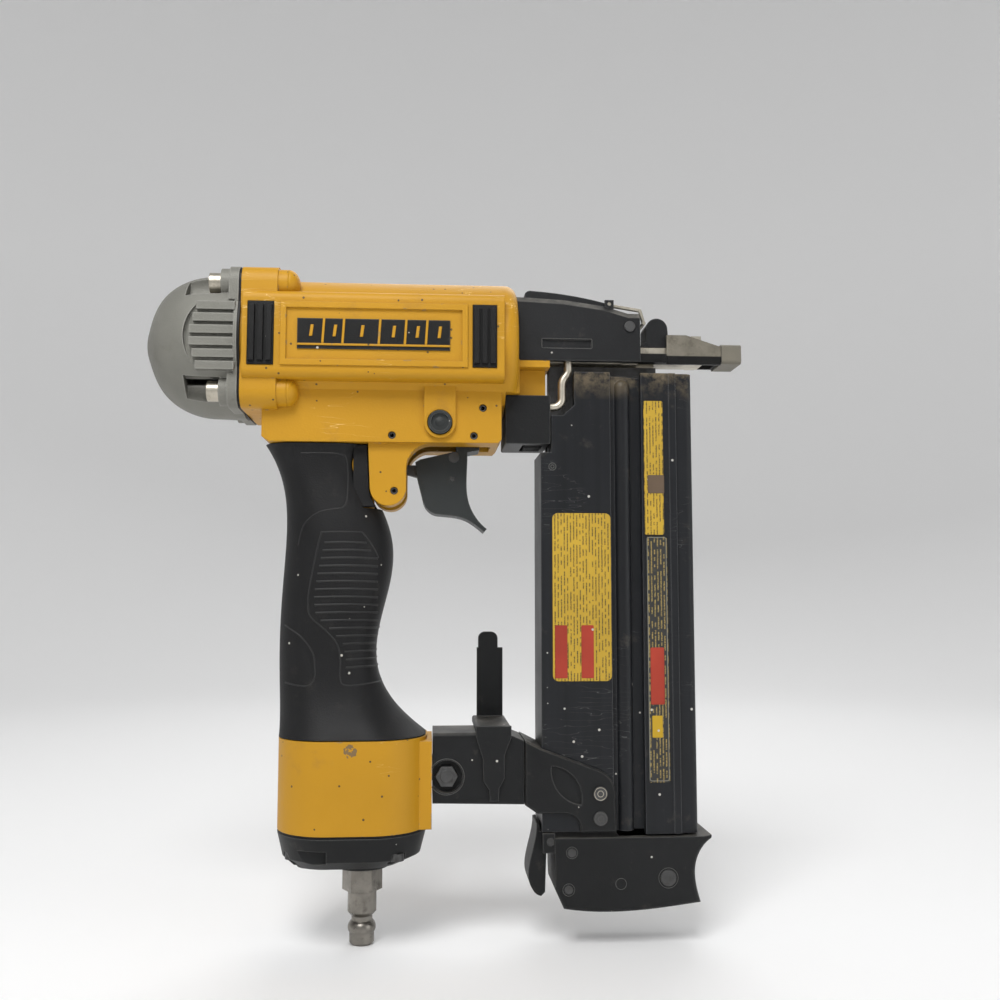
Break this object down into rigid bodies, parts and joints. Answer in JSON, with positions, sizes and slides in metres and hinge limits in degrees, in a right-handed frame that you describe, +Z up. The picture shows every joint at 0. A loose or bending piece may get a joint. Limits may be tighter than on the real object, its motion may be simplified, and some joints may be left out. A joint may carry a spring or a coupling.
{
  "type": "brad nailer",
  "caption": "Pneumatic brad nailer: barrel with driver and contact nose, pistol grip with trigger, air inlet below, side-loading magazine on a bracket, belt hook.",
  "frame": {"origin": "centre of the nose tip's front face, on the driver's axis", "axes": "+X is the drive direction out of the nose, +Z is up with the handle hanging down, -Y is the tool's right-hand side"},
  "size_m": [0.2537, 0.063, 0.2775],
  "materials": {
    "yellow_paint": "semi-gloss enamel on cast magnesium, scuffed",
    "grip_rubber": "matt moulded rubber with raised lines",
    "bare_casting": "blasted die casting, dull",
    "black_rubber": "matt",
    "bright_steel": "zinc plated, lightly tarnished",
    "dark_steel": "black oxide",
    "plug_steel": "plated, rubbed",
    "aluminium": "machined",
    "bumper_rubber": "urethane",
    "panel_plastic": "satin inlay",
    "inner_plastic": "acetal",
    "black_plastic": "glass-filled nylon, fine grain",
    "nose_metal": "black phosphate, dusty",
    "black_anodised": "black anodised extrusion",
    "yellow_label": "vinyl label",
    "dark_label": "vinyl label",
    "trigger_plastic": "grained nylon",
    "clear_plastic": "worn elastomer"
  },
  "bodies": {
    "tool": {"main_housing": "yellow_paint", "grip_overmold": "grip_rubber", "rear_cap": "bare_casting", "cap_gasket": "black_rubber", "cap_bolts": "bright_steel", "cylinder_sleeve": "aluminium", "orings": "black_rubber", "piston_bumper": "bumper_rubber", "side_bumpers": "black_rubber", "name_inlays": "panel_plastic", "valve_body": "inner_plastic", "roll_pins": "dark_steel", "front_block": "black_plastic", "depth_screw": "dark_steel", "nose_guide": "bright_steel", "nose_cover": "nose_metal", "nose_screws": "dark_steel", "jam_door_pin": "bright_steel", "magazine_rail": "black_anodised", "guide_rail": "dark_steel", "brad_strip": "bright_steel", "bracket_arm": "black_plastic", "magazine_bracket": "black_plastic", "bracket_bolt": "dark_steel", "magazine_screws": "dark_steel", "belt_hook": "black_plastic", "end_cap_gasket": "black_rubber", "base_end_cap": "black_plastic", "end_cap_screws": "dark_steel", "air_plug": "plug_steel", "inlet_screen": "bright_steel", "rear_label": "yellow_label", "valve_spring": "bright_steel", "head_valve_spring": "bright_steel", "trip_spring": "bright_steel"},
    "driver": {"piston": "aluminium", "piston_ring": "inner_plastic", "driver_blade": "bright_steel"},
    "head_valve": {"head_valve": "inner_plastic", "head_valve_seal": "black_rubber"},
    "valve_stem": {"valve_stem": "bright_steel"},
    "trigger": {"trigger": "trigger_plastic", "trigger_pins": "dark_steel"},
    "trip_lever": {"trip_lever": "dark_steel"},
    "lock_button": {"lock_button": "trigger_plastic"},
    "depth_wheel": {"depth_wheel": "black_plastic"},
    "contact_trip": {"contact_trip": "bright_steel", "wire_link": "bright_steel", "no_mar_tip": "clear_plastic"},
    "jam_door": {"jam_door": "nose_metal"},
    "jam_latch": {"jam_latch": "nose_metal"},
    "jam_bail": {"jam_bail": "bright_steel"},
    "magazine": {"magazine_cover": "black_anodised", "magazine_end_cap": "black_plastic", "end_cap_rivets": "dark_steel", "front_labels": "dark_label", "latch_pin": "dark_steel"},
    "latch_lever": {"latch_lever": "black_plastic"},
    "pusher": {"pusher": "inner_plastic", "pusher_band": "bright_steel"}
  },
  "joints": [
    {"name": "piston_slide", "type": "slide", "parent": "tool", "child": "driver", "axis": [1, 0, 0], "range_m": [0, 0.082]},
    {"name": "head_valve_slide", "type": "slide", "parent": "tool", "child": "head_valve", "axis": [-1, 0, 0], "range_m": [0, 0.004], "stiffness_N_per_m": 900, "springref_m": -0.006, "deforming": ["head_valve_spring"]},
    {"name": "valve_stem_slide", "type": "slide", "parent": "tool", "child": "valve_stem", "axis": [0, 0, 1], "range_m": [0, 0.0038], "deforming": ["valve_spring"]},
    {"name": "trigger_pull", "type": "hinge", "parent": "tool", "child": "trigger", "pos_m": [-0.1164, 0, -0.0394], "axis": [0, 1, 0], "range_deg": [0, 8], "stiffness_Nm_per_rad": 0.6, "springref_deg": -11.46},
    {"name": "trip_lever_tilt", "type": "hinge", "parent": "trigger", "child": "trip_lever", "pos_m": [-0.125, 0, -0.0559], "axis": [0, 1, 0], "range_deg": [-4, 0], "stiffness_Nm_per_rad": 0.02, "springref_deg": 22.92},
    {"name": "lock_button_slide", "type": "slide", "parent": "tool", "child": "lock_button", "axis": [0, 1, 0], "range_m": [0, 0.004]},
    {"name": "depth_wheel_turn", "type": "hinge", "parent": "tool", "child": "depth_wheel", "pos_m": [-0.091, 0, -0.0339], "axis": [1, 0, 0], "range_deg": [-180, 180]},
    {"name": "contact_trip_slide", "type": "slide", "parent": "tool", "child": "contact_trip", "axis": [-1, 0, 0], "range_m": [0, 0.006], "stiffness_N_per_m": 400, "springref_m": -0.012, "deforming": ["trip_spring"]},
    {"name": "jam_latch_turn", "type": "hinge", "parent": "tool", "child": "jam_latch", "pos_m": [-0.0579, 0, 0.0199], "axis": [0, 1, 0], "range_deg": [0, 55]},
    {"name": "jam_bail_turn", "type": "hinge", "parent": "tool", "child": "jam_bail", "pos_m": [-0.0579, 0, 0.0199], "axis": [0, 1, 0], "range_deg": [-50, 0]},
    {"name": "jam_door_open", "type": "hinge", "parent": "tool", "child": "jam_door", "pos_m": [-0.0192, 0, 0.0052], "axis": [0, 1, 0], "range_deg": [0, 50]},
    {"name": "magazine_slide", "type": "slide", "parent": "tool", "child": "magazine", "axis": [0, 0, -1], "range_m": [0, 0.125]},
    {"name": "magazine_latch_press", "type": "hinge", "parent": "magazine", "child": "latch_lever", "pos_m": [-0.0846, 0, -0.2046], "axis": [0, 1, 0], "range_deg": [-6, 0], "stiffness_Nm_per_rad": 0.4, "springref_deg": 11.46},
    {"name": "pusher_slide", "type": "slide", "parent": "magazine", "child": "pusher", "axis": [0, 0, -1], "range_m": [0, 0.1], "stiffness_N_per_m": 10, "springref_m": -0.4}
  ],
  "couplings": [
    {"joint": "valve_stem_slide", "follows": "trigger_pull", "m_per_rad": 0.0272}
  ]
}
